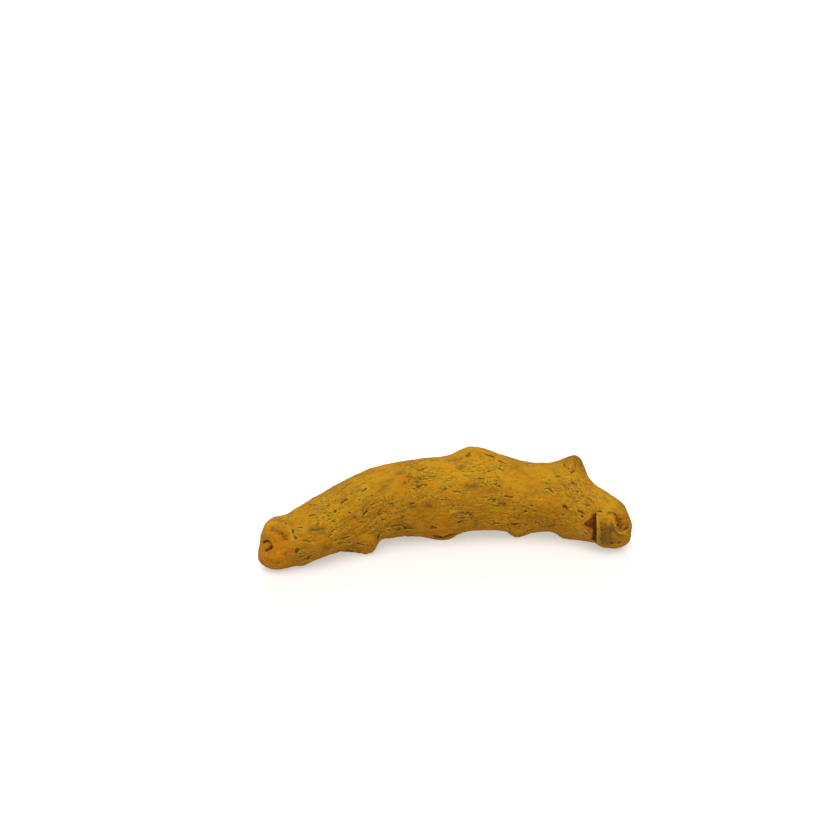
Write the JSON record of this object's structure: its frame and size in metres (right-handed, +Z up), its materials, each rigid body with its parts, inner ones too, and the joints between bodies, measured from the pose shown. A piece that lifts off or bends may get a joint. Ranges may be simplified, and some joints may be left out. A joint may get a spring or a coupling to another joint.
{
  "type": "turmeric root",
  "caption": "Dried turmeric finger: a knobbly curved piece of cured rhizome with a snapped end, a blunt tip, bud and root stubs, and a sheath scar.",
  "frame": {"origin": "middle of the bounding box's base, on the plane that the root lies on", "axes": "+X runs along the root from its snapped end to its blunt tip, +Z is up as it lies, -Y is its hollow side"},
  "size_m": [0.0698, 0.0227, 0.0163],
  "materials": {
    "skin": "matt mustard yellow, dusty, with dark flecks and rubbed orange places"
  },
  "bodies": {
    "root": {"turmeric_root": "skin"}
  },
  "joints": []
}
